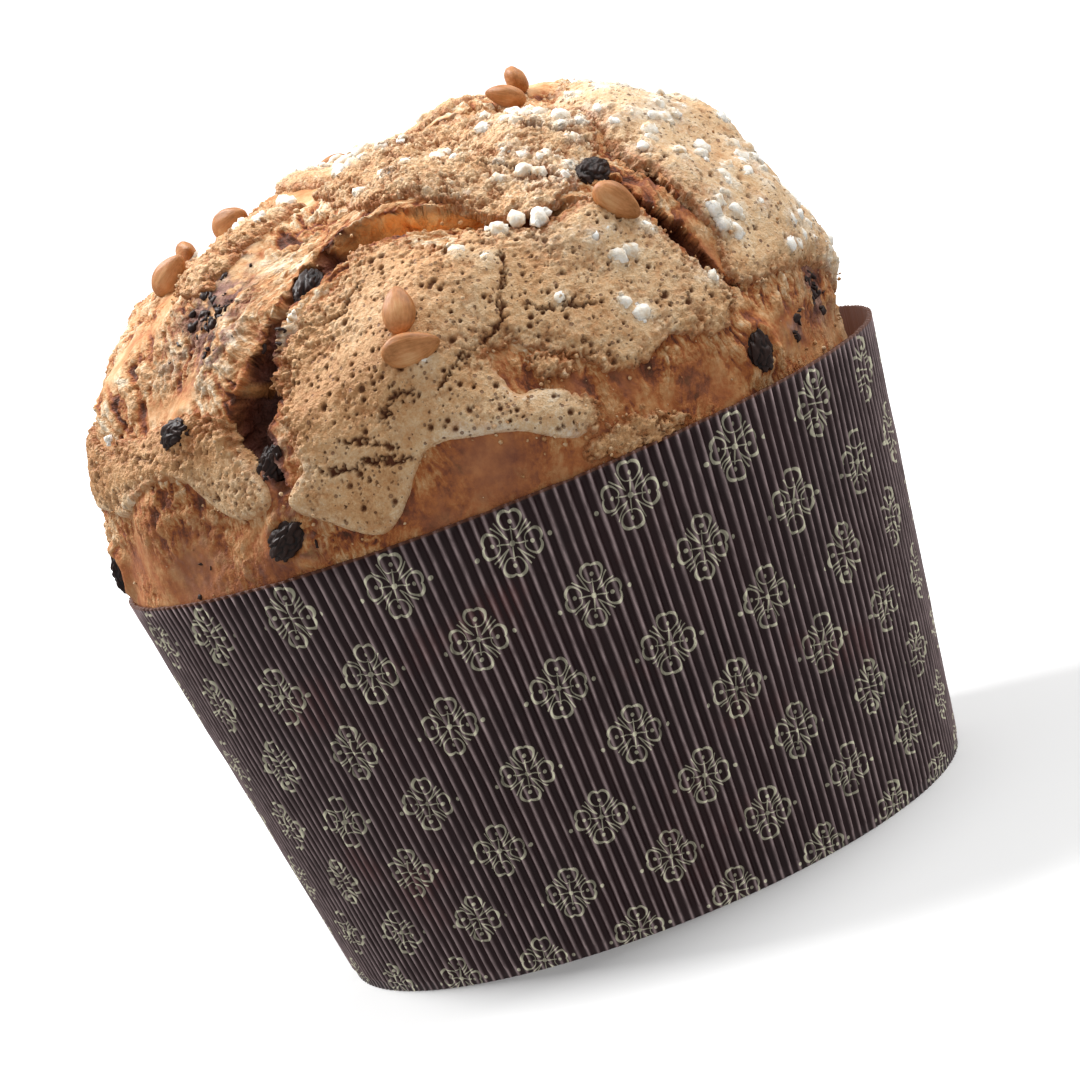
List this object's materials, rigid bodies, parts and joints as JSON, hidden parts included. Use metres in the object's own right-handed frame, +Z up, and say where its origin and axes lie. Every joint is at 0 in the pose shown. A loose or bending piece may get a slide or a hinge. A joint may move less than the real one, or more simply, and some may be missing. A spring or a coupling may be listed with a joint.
{
  "type": "panettone in paper case",
  "caption": "Domed sweet loaf with a cracked almond glaze, pearl sugar, almonds and raisins, standing in a tall fluted paper baking case with a gold flower print.",
  "frame": {"origin": "centre of the paper case's flat base, on the surface it stands on", "axes": "+Z up the loaf's axis to the crown of the dome, -Y towards the front that the picture shows, +X to the right of the front"},
  "size_m": [0.206, 0.206, 0.205],
  "materials": {
    "paper": "dark brown fluted baking paper with a soft sheen and a pale gold flower print",
    "crust": "matt baked crust, golden to red-brown",
    "almond": "smooth toasted almond, satin",
    "raisin": "dark wrinkled raisin, slightly wet"
  },
  "bodies": {
    "root": {"paper_case": "paper", "loaf": "crust", "almond_1": "almond", "almond_2": "almond", "almond_3": "almond", "almond_4": "almond", "almond_5": "almond", "almond_6": "almond", "almond_7": "almond", "almond_8": "almond", "almond_9": "almond", "almond_10": "almond", "almond_11": "almond", "almond_12": "almond", "raisin_1": "raisin", "raisin_2": "raisin", "raisin_3": "raisin", "raisin_4": "raisin", "raisin_5": "raisin", "raisin_6": "raisin", "raisin_7": "raisin", "raisin_8": "raisin", "raisin_9": "raisin", "raisin_10": "raisin"}
  },
  "joints": []
}
